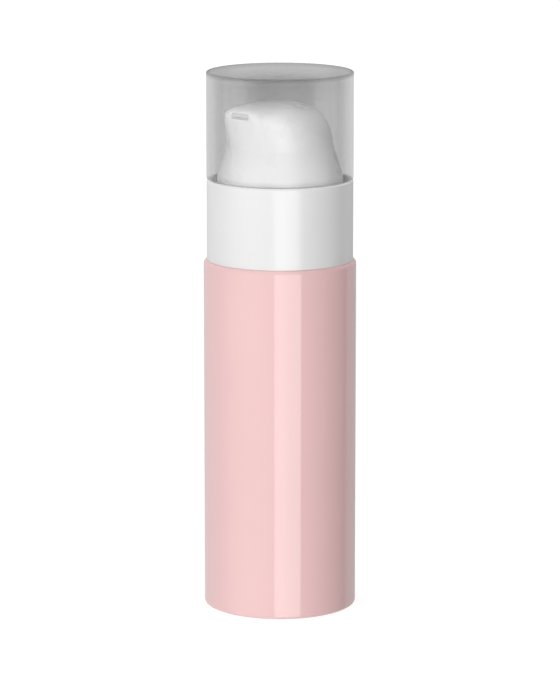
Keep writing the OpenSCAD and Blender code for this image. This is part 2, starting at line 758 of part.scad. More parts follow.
module cap() {
    top = collar_top + cap_h;
    color([0.55, 0.55, 0.56, 0.45]) rotate_extrude() difference() {
        union() {
            translate([0, collar_top]) square([cap_r, cap_h]);
            translate([0, collar_top - spigot_len]) square([spigot_r, spigot_len + cut]);
        }
        difference() {
            translate([0, collar_top - spigot_len - cut])
                square([spigot_bore_r, spigot_len + cut + cap_h - cap_top]);
            translate([spigot_bore_r - cap_inner_round, top - cap_top - cap_inner_round])
                corner(cap_inner_round);
        }
        translate([cap_r - cap_round, top - cap_round]) corner(cap_round);
        translate([cap_r, collar_top]) circle(r = joint_bevel, $fn = 4);
    }
}

outer_sleeve();
base_plate();
inner_bottle();
follower_piston();
collar();
pump_closure();
neck_gasket();
pump_housing();
ball_cage();
inlet_ball();
sealing_piston();
piston_rod();
upper_stem();
stem_guide();
return_spring();
actuator_core();
nozzle_insert();
actuator_shell();
cap();
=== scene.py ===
"""The looks of an airless pump bottle with a clear cap: its finer pieces, surfaces, studio and camera.

Lengths are in metres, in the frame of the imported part: +Z is up and the outlet looks along -Y.
A turn is an angle around Z in radians, counted from the outlet towards +X.
"""
import json
import math

import bmesh
import bpy
import numpy as np
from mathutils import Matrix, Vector
from mathutils.geometry import delaunay_2d_cdt


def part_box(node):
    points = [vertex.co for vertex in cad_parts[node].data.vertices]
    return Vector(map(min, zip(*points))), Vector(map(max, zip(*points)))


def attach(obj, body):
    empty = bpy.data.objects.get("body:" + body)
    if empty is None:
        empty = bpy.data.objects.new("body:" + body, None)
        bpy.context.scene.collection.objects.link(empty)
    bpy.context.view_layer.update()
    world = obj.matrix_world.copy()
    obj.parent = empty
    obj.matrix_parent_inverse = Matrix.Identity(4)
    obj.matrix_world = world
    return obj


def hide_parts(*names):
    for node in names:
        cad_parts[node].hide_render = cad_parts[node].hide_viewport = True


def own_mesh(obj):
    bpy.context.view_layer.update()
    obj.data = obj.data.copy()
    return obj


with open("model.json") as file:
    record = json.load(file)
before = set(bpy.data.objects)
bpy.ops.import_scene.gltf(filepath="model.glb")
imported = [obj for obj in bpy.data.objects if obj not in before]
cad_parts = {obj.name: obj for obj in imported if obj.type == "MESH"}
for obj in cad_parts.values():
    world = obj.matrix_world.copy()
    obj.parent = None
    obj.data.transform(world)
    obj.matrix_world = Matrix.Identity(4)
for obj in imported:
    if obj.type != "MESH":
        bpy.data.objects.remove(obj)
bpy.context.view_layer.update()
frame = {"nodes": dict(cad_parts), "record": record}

MM = 0.001
TURNS = 288  # steps around a round piece
SHARP_ANGLE = math.radians(40)  # edges that turn by more are shaded sharp


def reach(node):
    """Radius, lowest and highest level of a CAD node."""
    low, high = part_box(node)
    return high.x, low.z, high.z


# Sizes that come from the CAD pieces
sleeve_r, sleeve_z, sleeve_top = reach("outer_sleeve")
collar_r, plug_z, collar_top = reach("collar")
cap_r, spigot_z, cap_top = reach("cap")
skirt_r, skirt_z, head_top = reach("actuator_shell")
closure_r, _, closure_top = reach("pump_closure")
base_z = reach("base_plate")[1]
stem_top = reach("upper_stem")[2]
coil_out_r, spring_z, spring_top = reach("return_spring")

# Walls and rounds of the sleeve, the collar and the cap
sleeve_wall = 1.5 * MM
sleeve_bore_r = sleeve_r - sleeve_wall
rim_round = 1.1 * MM
foot_round = 0.8 * MM
base_t = 1.4 * MM
snap_groove = (0.6 * MM, 0.23 * MM)  # height and depth
plug_r = sleeve_bore_r - 0.06 * MM
mouth_r = collar_r - 1 * MM
below_r = collar_r - 2 * MM
deck_top = closure_top + 1.2 * MM
deck_hole_r = 9.1 * MM
grip_wall = 0.95 * MM
grip_len = 7.4 * MM
joint_bevel = 0.35 * MM
spigot_r = mouth_r - 0.08 * MM
spigot_bore_r = spigot_r - 0.7 * MM
cap_top_t = 2 * MM
cap_seat_gap = 0.02 * MM  # keeps the faces of the cap and the collar from lying in one plane
fine_round = 0.12 * MM  # breaks the small edges

# The pump head, as in the part
crown_top = 10.9 * MM
crease_z = head_top - crown_top
bell_z = collar_top + 0.5 * MM
crease_r = skirt_r - 2.35 * MM
face_y = crease_r + 1.6 * MM
lean_all = -0.027  # how much the crown's wall leans outwards
lean_front = 0.154  # how much more it does in front, and less behind
fall_all = 1.4 * MM  # from the pole to the edge of the top
fall_front = 0.7 * MM  # how much more it falls in front, and less behind
lip_lift = 1 * MM  # what lifts the edge again over the outlet
edge_front = 14  # exponents of the curve from the wall to the top, sharp in front and soft behind
edge_back = 3.2
edge_turn = 6  # how soon the edge gets soft beside the front
face_angle = math.radians(17)
face_blend = math.radians(12)
lip_angle = math.radians(8)
lip_blend = math.radians(30)
bell_ease = 0.85  # the share of the bell that is straight, before it bends down into the skirt
crease_round = 0.8 * MM
shell_wall = 1.3 * MM
roof_t = 2.4 * MM
roof_inset = 5.8 * MM
side_rise = 5 * MM
side_inset = 2.8 * MM
socket_top = stem_top + 0.3 * MM
land_z = socket_top - 2.2 * MM
face_len = 9.5 * MM  # about the way up the front, from the crease to the edge
crown_len = 14 * MM  # about the way over the top, from the edge to the pole

# The outlet in the front face of the head, with the tunnel from its mouth to the nozzle's pocket
slot_z = crease_z + 8.35 * MM
slot_half_w = 3.13 * MM
slot_half_h = 0.68 * MM
slot_round = 0.45 * MM
pocket_front = -(face_y - 2.53 * MM)
pocket_back = -2.5 * MM
pocket_half_w = 3.2 * MM
pocket_gap_below = 0.05 * MM
pocket_gap_above = 0.06 * MM
tunnel_over = 0.3 * MM
nozzle_half_h = 0.65 * MM
tip_len = 1.6 * MM
slit_half_w = 2.7 * MM
slit_half_h = 0.08 * MM
slit_drop = 0.3 * MM
slit_depth = 0.3 * MM

# The rings of points around the mouth, each by its distance from the tunnel's edge
RING_POINTS = 96
ring_grows = np.array((0.8, 0.62, 0.5, 0.42, 0.35, 0.28, 0.21, 0.15, 0.09, 0.05, 0.02, 0)) * MM
patch_gap = 0.18 * MM  # from the outermost ring to the points of the grid around it

# The camera, found by fitting one to the rims of the cap, the collar and the sleeve
camera_turn = math.radians(44.5)
camera_distance = 900 * MM
camera_height = 242.6 * MM
aim_z = 64.56 * MM
lens = 188.7  # in millimetres, as is the sensor
sensor = 36


def link(name, data):
    """A new object in the scene for a mesh or a camera."""
    piece = bpy.data.objects.new(name, data)
    bpy.context.scene.collection.objects.link(piece)
    return piece


def mesh_piece(name, points, faces):
    """A new object from points and faces."""
    mesh = bpy.data.meshes.new(name)
    mesh.from_pydata([tuple(map(float, p)) for p in points], [], [tuple(map(int, f)) for f in faces])
    return link(name, mesh)


def dress(piece, body, node, material):
    """Smooth shading and a material for a piece, which goes onto its body and hides the CAD node that it
    stands in for.
    """
    piece.data.shade_smooth()
    piece.data.set_sharp_from_angle(angle=SHARP_ANGLE)
    piece.data.materials.clear()
    piece.data.materials.append(material)
    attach(piece, body)
    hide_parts(node)


def hide_from(piece, *rays):
    """Leaves a piece out of what some rays meet, such as shadow, diffuse or glossy ones."""
    for kind in rays:
        setattr(piece, f"visible_{kind}", False)


def rounded(corners, steps=6):
    """A closed outline from corners of (radius, height, round), with each round as an arc."""
    outline = []
    for i, (r, z, round_r) in enumerate(corners):
        here = np.array((r, z))
        if not round_r:
            outline.append(here)
            continue
        before = np.array(corners[i - 1][:2]) - here
        after = np.array(corners[(i + 1) % len(corners)][:2]) - here
        before /= np.linalg.norm(before)
        after /= np.linalg.norm(after)
        half = math.acos(np.clip(before @ after, -1, 1)) / 2
        middle = (before + after) / np.linalg.norm(before + after)
        centre = here + middle * round_r / math.sin(half)
        start = here + before * round_r / math.tan(half) - centre
        end = here + after * round_r / math.tan(half) - centre
        arc = math.pi - 2 * half
        for k in range(steps + 1):
            part = arc * k / steps
            outline.append(centre + (math.sin(arc - part) * start + math.sin(part) * end) / math.sin(arc))
    return outline


def revolved(outline, turns=TURNS):
    """Points and faces of a closed outline turned around Z. Points on the axis become poles."""
    points, rings = [], []
    for r, z in outline:
        first = len(points)
        if r < 1e-8:
            rings.append([first] * turns)
            points.append((0, 0, z))
        else:
            rings.append(range(first, first + turns))
            points += [(r * math.sin(a), -r * math.cos(a), z)
                       for a in (2 * math.pi * j / turns for j in range(turns))]
    faces = []
    for low, high in zip(rings, rings[1:] + rings[:1]):
        for j in range(turns):
            k = (j + 1) % turns
            face = list(dict.fromkeys((low[j], low[k], high[k], high[j])))
            if len(face) > 2:
                faces.append(face)
    return points, faces


def sleeve_outline():
    """Section of the coloured sleeve, with the groove that the base plate snaps into."""
    groove_h, groove_depth = snap_groove
    groove_z = base_z + (base_t - groove_h) / 2
    return rounded([
        (sleeve_r, sleeve_z, foot_round),
        (sleeve_r, sleeve_top, rim_round),
        (sleeve_bore_r, sleeve_top, fine_round),
        (sleeve_bore_r, groove_z + groove_h, 0),
        (sleeve_bore_r + groove_depth, groove_z + groove_h, 0),
        (sleeve_bore_r + groove_depth, groove_z, 0),
        (sleeve_bore_r, groove_z, 0),
        (sleeve_bore_r, sleeve_z, fine_round),
    ], steps=10)


def collar_outline():
    """Section of the white collar: its plug, its side and mouth, the deck and the inner grip."""
    grip_r = closure_r + 0.03 * MM
    return rounded([
        (below_r, plug_z, fine_round),
        (plug_r, plug_z, fine_round),
        (plug_r, sleeve_top, 0),
        (collar_r, sleeve_top, fine_round),
        (collar_r, collar_top - joint_bevel, 0.1 * MM),
        (collar_r - joint_bevel, collar_top, 0.1 * MM),
        (mouth_r, collar_top, fine_round),
        (mouth_r, deck_top, 0.2 * MM),
        (deck_hole_r, deck_top, fine_round),
        (deck_hole_r, closure_top, 0),
        (grip_r, closure_top, 0),
        (grip_r, closure_top - grip_len, fine_round),
        (grip_r + grip_wall, closure_top - grip_len, fine_round),
        (grip_r + grip_wall, closure_top, 0),
        (below_r, closure_top, 0),
    ])


def cap_outline():
    """Section of the clear cap, with its lid, its wall and the spigot that plugs into the collar."""
    seat_z = collar_top + cap_seat_gap
    ceiling_z = cap_top - cap_top_t
    return rounded([
        (0, cap_top, 0),
        (0, ceiling_z, 0),
        (spigot_bore_r, ceiling_z, 1 * MM),
        (spigot_bore_r, spigot_z, 0.1 * MM),
        (spigot_r, spigot_z, 0.1 * MM),
        (spigot_r, seat_z, 0),
        (cap_r - joint_bevel, seat_z, 0.1 * MM),
        (cap_r, seat_z + joint_bevel, 0.1 * MM),
        (cap_r, cap_top, 0.4 * MM),
    ], steps=8)


def left_of(turn, keep, blend):
    """How much of a thing at the outlet is left at a turn: 1 in front, 0 at the sides."""
    s = np.clip((np.abs(turn) - keep) / blend, 0, 1)
    return 1 - s * s * (3 - 2 * s)


def head_point(turn, course):
    """Points of the head's outside, at turns from -pi to pi.

    The course runs along the outside: -2 to -1 is the skirt, -1 to 0 the bell below the crease,
    0 to 1 the crown's wall, and 1 to 2 its top, up to the pole.
    """
    turn, course = np.broadcast_arrays(np.asarray(turn, float), np.asarray(course, float))
    share = left_of(turn, face_angle, face_blend)
    # the bell and the skirt
    t = np.clip(-course, 0, 1)
    slope = 2 / (1 + bell_ease)
    swell = np.where(t < bell_ease, slope * t, 1 - slope * (1 - t) ** 2 / (2 * (1 - bell_ease)))
    bell_r = crease_r + (skirt_r - crease_r) * swell
    low_z = crease_z - t * (crease_z - bell_z) - np.clip(-1 - course, 0, 1) * (bell_z - skirt_z)
    # the crown: out and up follow a superellipse whose edge softens from front to back
    edge = edge_back + (edge_front - edge_back) * ((1 + np.cos(turn)) / 2) ** edge_turn
    corner = 0.5 ** (1 / edge)
    on_wall = course <= 1
    up = np.clip(course, 0, 1) * corner
    out = np.clip(2 - course, 0, 1) * corner
    out = np.where(on_wall, (1 - up ** edge) ** (1 / edge), out)
    up = np.where(on_wall, up, (1 - out ** edge) ** (1 / edge))
    top_r = crease_r + (lean_all + lean_front * np.cos(turn)) * crown_top
    flat = face_y / np.cos(np.minimum(np.abs(turn), face_angle + face_blend)) / top_r - 1
    wall = crease_r + (top_r - crease_r) * up
    fall = fall_all + fall_front * np.cos(turn) - lip_lift * left_of(turn, lip_angle, lip_blend)
    crown_radius = out * wall * (1 + flat * share * up)
    high_z = crease_z + up * (crown_top - fall * out * out)
    # the crease is rounded between the slopes on its two sides
    below = -(skirt_r - crease_r) * slope / (crease_z - bell_z)
    above = (top_r - crease_r + crease_r * flat * share) / (crown_top - fall)
    r = np.where(course < 0, bell_r, crown_radius)
    z = np.where(course < 0, low_z, high_z)
    near = np.clip(crease_round - np.abs(z - crease_z), 0, None)
    r = r + np.where(course < 1, (above - below) * near ** 2 / (4 * crease_round), 0)
    return np.stack((r * np.sin(turn), -r * np.cos(turn), z), axis=-1)


def crowded(start, end, count):
    """Values from start to end, a fifth as far apart near both of them as they would be without crowding."""
    crowding = 0.8
    x = np.linspace(0, 1, count + 1)
    return start + (end - start) * (x - crowding * np.sin(2 * math.pi * x) / (2 * math.pi))


def stadium(half_w, half_h, grow, count):
    """Points of a bar with round ends, grown by a distance, against the clock as seen from the front."""
    radius = half_h + grow
    straight = half_w - half_h
    side = int(count * straight / (2 * straight + math.pi * half_h))
    end = (count - 2 * side) // 2
    points = []
    for sign in (1, -1):
        for k in range(end):
            angle = -math.pi / 2 + math.pi * k / end
            points.append((sign * (straight + radius * math.cos(angle)), sign * radius * math.sin(angle)))
        for k in range(side):
            points.append((sign * (straight - 2 * straight * k / side), sign * radius))
    return np.array(points)


def on_head(x, z):
    """Turn and course of the points of the crown that are seen at (x, z) from the front.

    Each of Newton's steps takes the slopes from a small change of turn and course.
    """
    turn = np.arcsin(x / face_y)
    course = (z - crease_z) / face_len
    small = 1e-5
    newton_steps = 25
    for _ in range(newton_steps):
        here = head_point(turn, course)[:, [0, 2]]
        by_turn = (head_point(turn + small, course)[:, [0, 2]] - here) / small
        by_course = (head_point(turn, course + small)[:, [0, 2]] - here) / small
        off = np.stack((x, z), axis=-1) - here
        scale = by_turn[:, 0] * by_course[:, 1] - by_turn[:, 1] * by_course[:, 0]
        turn = turn + (off[:, 0] * by_course[:, 1] - off[:, 1] * by_course[:, 0]) / scale
        course = course + (by_turn[:, 0] * off[:, 1] - by_turn[:, 1] * off[:, 0]) / scale
    return turn, course


def mouth_rings():
    """The rings around the mouth, first on the face and then down the round: turn, course and points."""
    rings = []
    for grow in ring_grows:
        outline = stadium(slot_half_w, slot_half_h, grow, RING_POINTS)
        turn, course = on_head(outline[:, 0], outline[:, 1] + slot_z)
        ring = head_point(turn, course)
        inside = max(0, slot_round - grow)
        ring[:, 1] += slot_round - math.sqrt(slot_round ** 2 - inside ** 2)
        rings.append((turn, course, ring))
    return rings


def laid_flat(turn, course):
    """A point of the crown on a plane, about as wide and high as on the head."""
    return turn * face_y, np.minimum(course, 1) * face_len + np.maximum(course - 1, 0) * crown_len


def mouth_patch(grid_places, rings, ring_places):
    """Faces of the patch around the mouth, laid through the grid's points and the rings.

    The grid's places are numbered by the points that they stand for, and so are the rings.
    """
    outline = stadium(slot_half_w, slot_half_h, ring_grows[0] + patch_gap, RING_POINTS)
    limit = np.stack(laid_flat(*on_head(outline[:, 0], outline[:, 1] + slot_z)), axis=-1)
    kept = {point: place for point, place in grid_places.items() if not inside_outline(place, limit)}
    owners = list(kept)
    places = list(kept.values())
    edges = []
    for ring, place in zip(rings, ring_places):
        first = len(places)
        owners += ring
        places += zip(*place)
        edges += [(first + k, first + (k + 1) % RING_POINTS) for k in range(RING_POINTS)]
    scaled = [Vector((u / MM, v / MM)) for u, v in places]
    _, _, patch, origins, _, _ = delaunay_2d_cdt(scaled, edges, [], 0, 1e-7)
    mouth = set(rings[-1])
    faces = [[owners[origins[corner][0]] for corner in face] for face in patch]
    return [face for face in faces if not mouth.issuperset(face)]


def tunnel(points, rim):
    """Adds the tunnel behind the mouth's rim to the points, and gives its faces and its end."""
    start = np.array([points[i] for i in rim])
    faces = []
    for share in (0.1, 0.3, 0.6, 1):
        deeper = start.copy()
        deeper[:, 1] += (pocket_front + tunnel_over - start[:, 1]) * share
        behind = range(len(points), len(points) + RING_POINTS)
        points += list(deeper)
        for k in range(RING_POINTS):
            n = (k + 1) % RING_POINTS
            faces.append((rim[k], behind[k], behind[n], rim[n]))
        rim = behind
    return faces + [tuple(rim)]


def head_form():
    """The outside of the head as a closed mesh, with the mouth of the outlet let into its front."""
    courses = np.concatenate((
        [-2, -1.5], crowded(-1, 0, 40), crowded(0, 1, 60)[1:], crowded(1, 2, 60)[1:-1]))
    angles = np.arange(TURNS) * 2 * math.pi / TURNS
    angles = np.where(angles > math.pi, angles - 2 * math.pi, angles)
    grid = head_point(angles[None, :], courses[:, None])
    points = list(grid.reshape(-1, 3)) + [np.array((0, 0, head_top))]
    pole = len(points) - 1

    # the patch of the grid that the mouth stands in, from up the front to a part of the way over the top
    half_columns = 20
    first_row = int(np.searchsorted(courses, 0.6))
    last_row = int(np.searchsorted(courses, 1.25))
    grid_places = {}
    for i in range(first_row, last_row + 1):
        for column in range(-half_columns, half_columns + 1):
            j = column % TURNS
            grid_places[i * TURNS + j] = laid_flat(angles[j], courses[i])
    rings, ring_places = [], []
    for turn, course, ring in mouth_rings():
        rings.append(range(len(points), len(points) + RING_POINTS))
        ring_places.append(laid_flat(turn, course))
        points += list(ring)
    faces = mouth_patch(grid_places, rings, ring_places)

    # the rest of the grid, the pole, the underside and the tunnel
    for i in range(len(courses) - 1):
        for j in range(TURNS):
            in_columns = (j + half_columns) % TURNS < 2 * half_columns
            if not (first_row <= i < last_row and in_columns):
                k = (j + 1) % TURNS
                faces.append((i * TURNS + j, i * TURNS + k, (i + 1) * TURNS + k, (i + 1) * TURNS + j))
    last = (len(courses) - 1) * TURNS
    faces += [(last + j, last + (j + 1) % TURNS, pole) for j in range(TURNS)]
    faces.append(tuple(range(TURNS - 1, -1, -1)))
    faces += tunnel(points, rings[-1])
    return used_only(points, faces)


def inside_outline(place, outline):
    """Whether a point of the plane lies inside a closed outline."""
    x, y = place
    ahead = np.roll(outline, -1, axis=0)
    rise = ahead[:, 1] - outline[:, 1]
    crosses = (outline[:, 1] > y) != (ahead[:, 1] > y)
    with np.errstate(divide="ignore", invalid="ignore"):
        at = outline[:, 0] + (y - outline[:, 1]) * (ahead[:, 0] - outline[:, 0]) / rise
    return bool(np.count_nonzero(crosses & (x < at)) % 2)


def used_only(points, faces):
    """The same faces with the points that no face uses left out."""
    used = sorted({i for face in faces for i in face})
    place = {old: new for new, old in enumerate(used)}
    return [points[i] for i in used], [[place[i] for i in face] for face in faces]


def box_mesh(low, high):
    """Points and faces of a box between two corners."""
    points = [(x, y, z) for x in (low[0], high[0]) for y in (low[1], high[1]) for z in (low[2], high[2])]
    faces = [(0, 1, 3, 2), (4, 6, 7, 5), (0, 4, 5, 1), (2, 3, 7, 6), (0, 2, 6, 4), (1, 5, 7, 3)]
    return points, faces


def point_outwards(piece):
    """Makes every face of a closed mesh look outwards."""
    shape = bmesh.new()
    shape.from_mesh(piece.data)
    bmesh.ops.recalc_face_normals(shape, faces=shape.faces)
    shape.to_mesh(piece.data)
    shape.free()


def cut(piece, tools):
    """Takes closed meshes away from a piece and keeps the result as its own mesh."""
    for tool in tools:
        point_outwards(tool)
        modifier = piece.modifiers.new("cut", "BOOLEAN")
        modifier.operation = "DIFFERENCE"
        modifier.solver = "EXACT"
        modifier.object = tool
    bpy.context.view_layer.update()
    seen = piece.evaluated_get(bpy.context.evaluated_depsgraph_get())
    result = bpy.data.meshes.new_from_object(seen)
    piece.modifiers.clear()
    piece.data = result
    for tool in tools:
        bpy.data.objects.remove(tool)


def head_shell():
    """The head's shell: its outside, less the hollow and the pocket of the nozzle."""
    shell = mesh_piece("head_shell", *head_form())
    point_outwards(shell)
    skirt_in = skirt_r - shell_wall
    land_r = crease_r - shell_wall
    below = skirt_z - 1 * MM
    ceiling = head_top - roof_t
    hollow = mesh_piece("hollow", *revolved([
        (0, below),
        (skirt_in, below),
        (skirt_in, bell_z),
        (land_r, land_z),
        (land_r, socket_top),
        (crease_r - side_inset, crease_z + side_rise),
        (crease_r - roof_inset, ceiling),
        (0, ceiling),
    ], turns=96))
    low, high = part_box("nozzle_insert")
    pocket = mesh_piece("pocket", *box_mesh(
        (-pocket_half_w, pocket_front, low.z - pocket_gap_below),
        (pocket_half_w, pocket_back, high.z + pocket_gap_above)))
    cut(shell, [hollow, pocket])
    return shell


def nozzle_pieces():
    """The nozzle in the head: its block, and its tip with the outlet's slit low in its front face."""
    low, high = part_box("nozzle_insert")
    tip = mesh_piece("nozzle_tip", *box_mesh(
        (low.x, low.y, slot_z - nozzle_half_h), (high.x, low.y + tip_len, slot_z + nozzle_half_h)))
    point_outwards(tip)
    slit_z = slot_z - slit_drop
    cut(tip, [mesh_piece("slit", *box_mesh(
        (-slit_half_w, low.y - slit_depth, slit_z - slit_half_h),
        (slit_half_w, low.y + slit_depth, slit_z + slit_half_h)))])
    block = mesh_piece("nozzle_block", *box_mesh((low.x, low.y + tip_len, low.z), high))
    point_outwards(block)
    return tip, block


def spring_form():
    """The return spring as one round wire, closed at both ends."""
    sides, steps_per_turn = 20, 48
    coils = 6
    wire_r = 0.4 * MM
    coil_r = coil_out_r - wire_r
    steps = coils * steps_per_turn
    climb = (spring_top - spring_z - 2 * wire_r) / steps
    points = []
    for i in range(steps + 1):
        turn = 2 * math.pi * i / steps_per_turn
        for j in range(sides):
            around = 2 * math.pi * j / sides
            r = coil_r + wire_r * math.cos(around)
            points.append((r * math.cos(turn), r * math.sin(turn),
                           spring_z + wire_r + climb * i + wire_r * math.sin(around)))
    faces = []
    for i in range(steps):
        here, ahead = i * sides, (i + 1) * sides
        for j in range(sides):
            k = (j + 1) % sides
            faces.append((here + j, here + k, ahead + k, ahead + j))
    faces += [tuple(range(sides)), tuple(range(steps * sides, (steps + 1) * sides))]
    return points, faces


def new_material(name):
    """An empty node material, with its tree and its output."""
    material = bpy.data.materials.new(name)
    material.use_nodes = True
    tree = material.node_tree
    tree.nodes.clear()
    return material, tree, tree.nodes.new("ShaderNodeOutputMaterial")


def add(tree, kind, **values):
    """A new node. Values are set on its inputs by name, with _ for a space, or on the node itself."""
    node = tree.nodes.new("ShaderNode" + kind)
    for key, value in values.items():
        name = key.replace("_", " ")
        if name in node.inputs:
            node.inputs[name].default_value = value
        else:
            setattr(node, key, value)
    return node


def noise(tree, size, detail=2):
    """A noise whose lumps are about one size across, in metres."""
    place = add(tree, "TexCoord")
    lumps = add(tree, "TexNoise", Scale=1 / size, Detail=detail)
    tree.links.new(place.outputs["Object"], lumps.inputs["Vector"])
    return lumps.outputs["Fac"]


def spread(tree, value, low, high):
    """A noise, which lies mostly between 0.3 and 0.7, spread from low to high."""
    spread_node = add(tree, "MapRange")
    for name, number in (("From Min", 0.3), ("From Max", 0.7), ("To Min", low), ("To Max", high)):
        spread_node.inputs[name].default_value = number
    tree.links.new(value, spread_node.inputs["Value"])
    return spread_node.outputs["Result"]


def tones(tree, value, colour, change):
    """A colour that drifts a little darker and lighter with a noise."""
    mix = add(tree, "Mix", data_type="RGBA")
    tree.links.new(spread(tree, value, 0, 1), mix.inputs["Factor"])
    for socket, scale in ((6, 1 - change), (7, 1 + change)):
        mix.inputs[socket].default_value = (*[min(1, c * scale) for c in colour], 1)
    return mix.outputs[2]


def bumps(tree, value, height):
    """A normal that follows a noise of some height."""
    bump = add(tree, "Bump", Strength=1, Distance=height)
    tree.links.new(value, bump.inputs["Height"])
    return bump.outputs["Normal"]


def feed(tree, value, socket):
    """Links a socket to another node's result, or sets it to a plain number."""
    if isinstance(value, bpy.types.NodeSocket):
        tree.links.new(value, socket)
    else:
        socket.default_value = value


def maths(tree, operation, *values):
    """The result of a sum or a product of numbers and of other nodes' results."""
    node = add(tree, "Math", operation=operation)
    for value, socket in zip(values, node.inputs):
        feed(tree, value, socket)
    return node.outputs["Value"]


def plastic(name, colour, roughness, level=0.5, wander=0.02, peel=1.5e-6, peel_size=2.4 * MM, **more):
    """Moulded plastic: slow drifts of tone and gloss, and the fine waviness of a moulded surface."""
    material, tree, output = new_material(name)
    shader = add(tree, "BsdfPrincipled", Specular_IOR_Level=level, **more)
    links = tree.links
    links.new(tones(tree, noise(tree, 22 * MM), colour, 0.012), shader.inputs["Base Color"])
    gloss = spread(tree, noise(tree, 9 * MM, 3), roughness - wander, roughness + wander)
    links.new(gloss, shader.inputs["Roughness"])
    links.new(bumps(tree, noise(tree, peel_size, 1), peel), shader.inputs["Normal"])
    links.new(shader.outputs["BSDF"], output.inputs["Surface"])
    return material


def steel(name, colour, roughness):
    """Bright steel with fine drawn scratches."""
    material, tree, output = new_material(name)
    shader = add(tree, "BsdfPrincipled", Metallic=1)
    links = tree.links
    links.new(tones(tree, noise(tree, 1 * MM), colour, 0.05), shader.inputs["Base Color"])
    gloss = spread(tree, noise(tree, 0.3 * MM, 4), roughness * 0.7, roughness * 1.3)
    links.new(gloss, shader.inputs["Roughness"])
    links.new(bumps(tree, noise(tree, 0.12 * MM, 3), 1e-6), shader.inputs["Normal"])
    links.new(shader.outputs["BSDF"], output.inputs["Surface"])
    return material


def ramp(tree, value, low, high, stops):
    """A value that follows stops of (place, level) between low and high, with levels from 0 to 1."""
    share = add(tree, "MapRange")
    share.inputs["From Min"].default_value = low
    share.inputs["From Max"].default_value = high
    tree.links.new(value, share.inputs["Value"])
    curve = add(tree, "ValToRGB")
    elements = curve.color_ramp.elements
    while len(elements) > 1:
        elements.remove(elements[-1])
    for i, (at, level) in enumerate(stops):
        position = (at - low) / (high - low)
        stop = elements[0] if i == 0 else elements.new(position)
        stop.position = position
        stop.color = (level, level, level, 1)
    tree.links.new(share.outputs["Result"], curve.inputs["Fac"])
    return curve.outputs["Color"]


def blend_values(tree, share, first, second):
    """A value that goes from the first to the second with a share."""
    mix = add(tree, "Mix", data_type="FLOAT")
    for value, socket in ((share, 0), (first, 2), (second, 3)):
        feed(tree, value, mix.inputs[socket])
    return mix.outputs[0]


def clear_plastic(name):
    """Clear plastic, seen through by its alpha, with a veil on the outside of the wall and on the lid.

    The veil changes from where the wall is seen face on to edge on. The plug is painted pale grey: painted
    light that stands in for the light which the white collar around it sends into the shaded gap at its
    mouth.
    """
    material, tree, output = new_material(name)
    links = tree.links
    shader = add(tree, "BsdfPrincipled", IOR=1.49)
    place = add(tree, "TexCoord").outputs["Object"]
    parts = add(tree, "SeparateXYZ")
    links.new(place, parts.inputs["Vector"])
    height = parts.outputs["Z"]
    flat_place = add(tree, "VectorMath", operation="MULTIPLY")
    flat_place.inputs[1].default_value = (1, 1, 0)
    links.new(place, flat_place.inputs[0])
    distance = add(tree, "VectorMath", operation="LENGTH")
    links.new(flat_place.outputs["Vector"], distance.inputs[0])

    # the outside of the wall, the top of the lid and the plug, each as a share from 0 to 1
    wall_r = (cap_r + spigot_bore_r) / 2
    fade = 0.1 * MM
    lid_fade = 1.2 * MM
    plug_fade = 0.3 * MM
    outside = ramp(tree, distance.outputs["Value"], wall_r - 2 * fade, wall_r + 2 * fade,
                   ((wall_r - fade, 0), (wall_r + fade, 1)))
    lid = ramp(tree, height, collar_top, cap_top, ((cap_top - lid_fade, 0), (cap_top - fade, 1)))
    plug = ramp(tree, height, spigot_z, cap_top, ((collar_top - fade, 1), (collar_top + plug_fade, 0)))

    smoke = tones(tree, noise(tree, 18 * MM), (0.05, 0.05, 0.052), 0.06)
    # the plug is painted pale grey, painted light for the light in the shaded gap at the collar's mouth; the
    # rest keeps the smoky tint
    tint = add(tree, "Mix", data_type="RGBA")
    links.new(plug, tint.inputs["Factor"])
    links.new(smoke, tint.inputs[6])
    tint.inputs[7].default_value = (0.62, 0.61, 0.61, 1)
    links.new(tint.outputs[2], shader.inputs["Base Color"])

    facing = add(tree, "LayerWeight", Blend=0.5).outputs["Facing"]
    near_top = ramp(tree, height, collar_top, cap_top, TOP_VEIL)
    face_on = ramp(tree, facing, 0, 1, FACE_ON_SHARE)
    veil = maths(tree, "MULTIPLY_ADD", near_top, face_on, ramp(tree, facing, 0, 1, WALL_VEIL))
    dense = blend_values(tree, lid, blend_values(tree, outside, 0, veil), LID_VEIL)
    links.new(blend_values(tree, plug, dense, PLUG_VEIL), shader.inputs["Alpha"])
    links.new(blend_values(tree, outside, 0.06, 0.34), shader.inputs["Roughness"])
    links.new(blend_values(tree, lid, 1, 0.15), shader.inputs["Specular IOR Level"])
    links.new(bumps(tree, noise(tree, 3 * MM, 1), 1.2e-6), shader.inputs["Normal"])
    links.new(shader.outputs["BSDF"], output.inputs["Surface"])
    return material


def camera_ray(tree):
    """1 for the rays that come from the camera, and 0 for all others."""
    return add(tree, "LightPath").outputs["Is Camera Ray"]


def haze(name):
    """The smoky tint in the cap's hollow, which grows with the way through it and casts no shade."""
    material, tree, output = new_material(name)
    smoke = add(tree, "VolumeAbsorption", Color=(0, 0, 0, 1))
    tree.links.new(maths(tree, "MULTIPLY", camera_ray(tree), HAZE / MM), smoke.inputs["Density"])
    tree.links.new(smoke.outputs["Volume"], output.inputs["Volume"])
    return material


